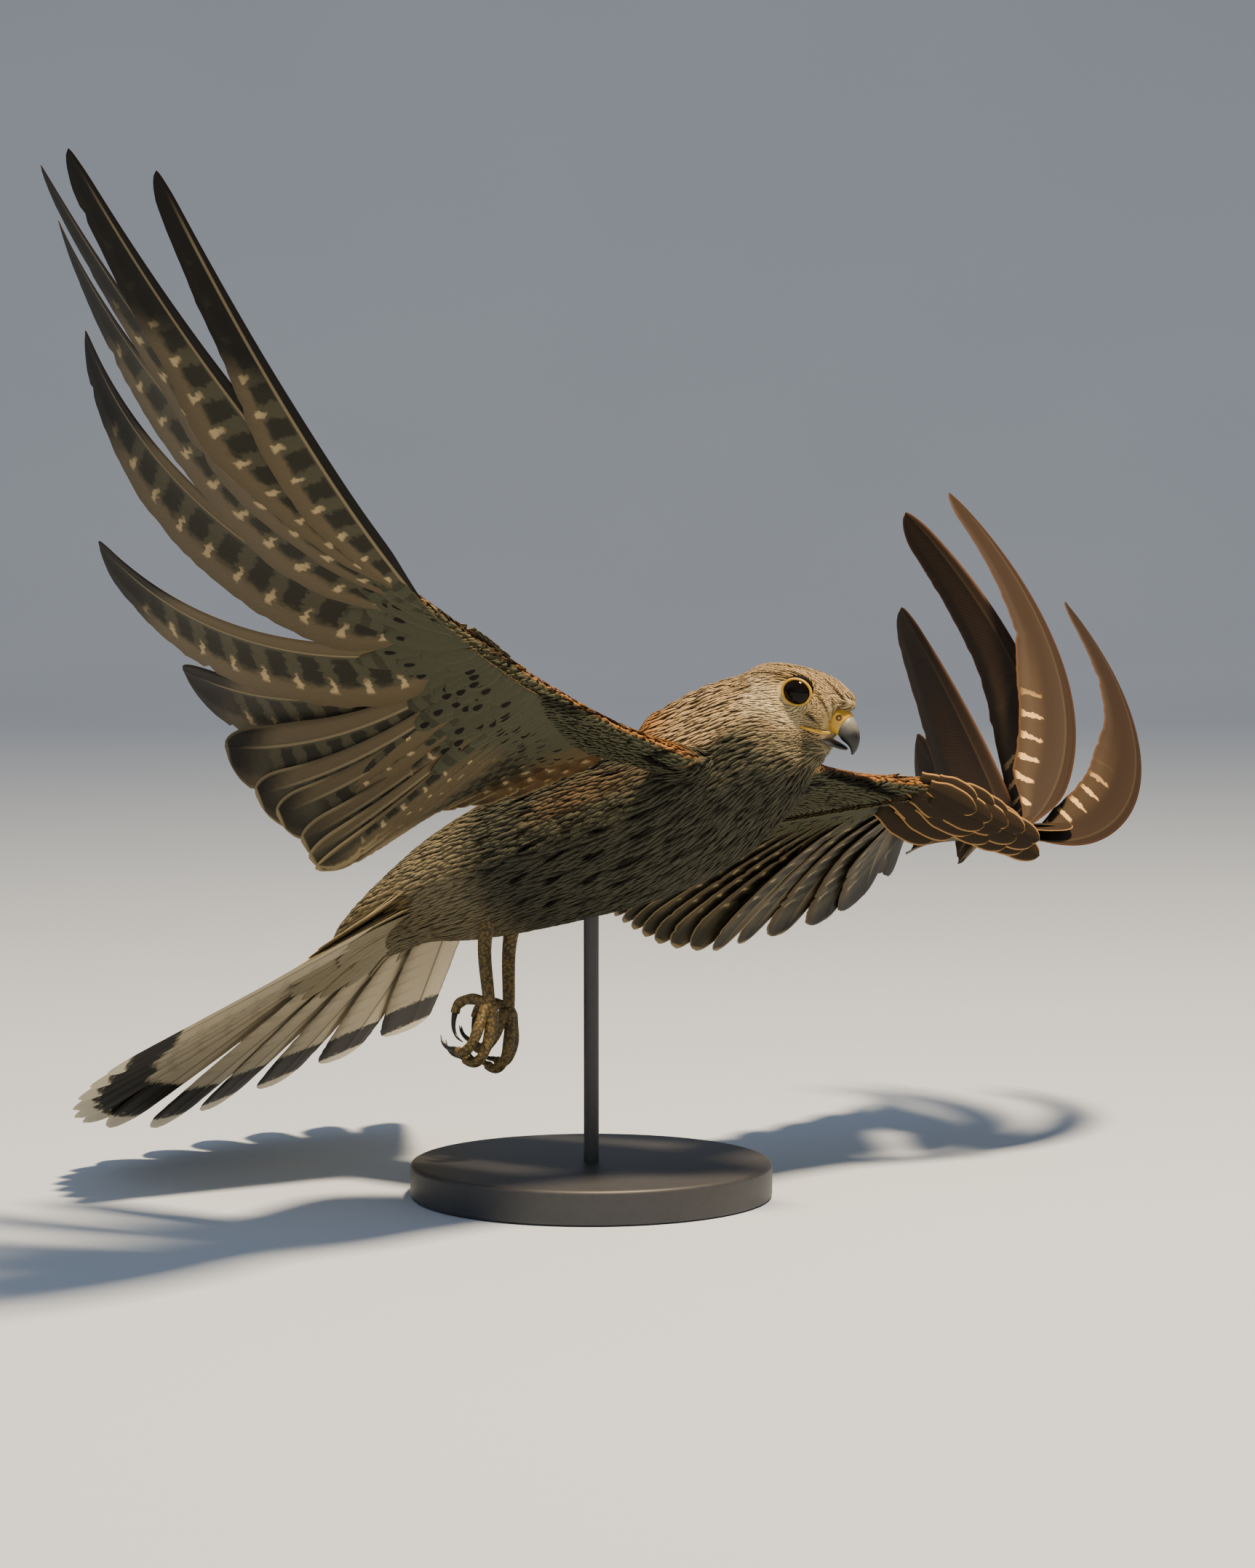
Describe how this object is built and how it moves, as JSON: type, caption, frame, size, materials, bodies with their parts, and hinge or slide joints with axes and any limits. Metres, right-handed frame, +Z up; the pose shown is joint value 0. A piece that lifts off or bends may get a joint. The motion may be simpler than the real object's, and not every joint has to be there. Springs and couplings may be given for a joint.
{
  "type": "common kestrel model",
  "caption": "Life-size common kestrel in hovering flight, wings raised and tail fanned, held on a plain display stand.",
  "frame": {"origin": "centre of the underside of the stand's base", "axes": "+Z up; +X the way the bird heads over the floor; +Y to the bird's left"},
  "size_m": [0.2869, 0.5081, 0.3371],
  "materials": {
    "body_feathers": "soft overlapping contour feathers, buff below with dark streaks, rufous above, grey-buff head",
    "wing_feathers": "stiff flight feathers, dark brown with pale bars and black-brown tips, matte",
    "tail_feathers": "grey-buff tail feathers with a broad black band near white tips, matte",
    "eye": "near-black moist eye, glossy",
    "cere": "waxy yellow skin, satin",
    "bill": "horn, blue-grey darkening to a black tip, satin",
    "claw": "blue-black horn, satin",
    "leg_scales": "ochre-yellow scaled skin, matte",
    "stand": "plain dark display stand, satin paint"
  },
  "bodies": {
    "root": {"bill_lower": "bill", "bill_upper": "bill", "cere": "cere", "claw_left_hind": "claw", "claw_left_inner": "claw", "claw_left_middle": "claw", "claw_left_outer": "claw", "claw_right_hind": "claw", "claw_right_inner": "claw", "claw_right_middle": "claw", "claw_right_outer": "claw", "eye_left": "eye", "eye_right": "eye", "foot_left": "leg_scales", "foot_right": "leg_scales", "head": "body_feathers", "leg_left": "leg_scales", "leg_right": "leg_scales", "neck": "body_feathers", "stand_base": "stand", "stand_rod": "stand", "tail": "tail_feathers", "torso": "body_feathers", "wing_left_arm": "wing_feathers", "wing_left_hand": "wing_feathers", "wing_right_arm": "wing_feathers", "wing_right_hand": "wing_feathers"}
  },
  "joints": []
}
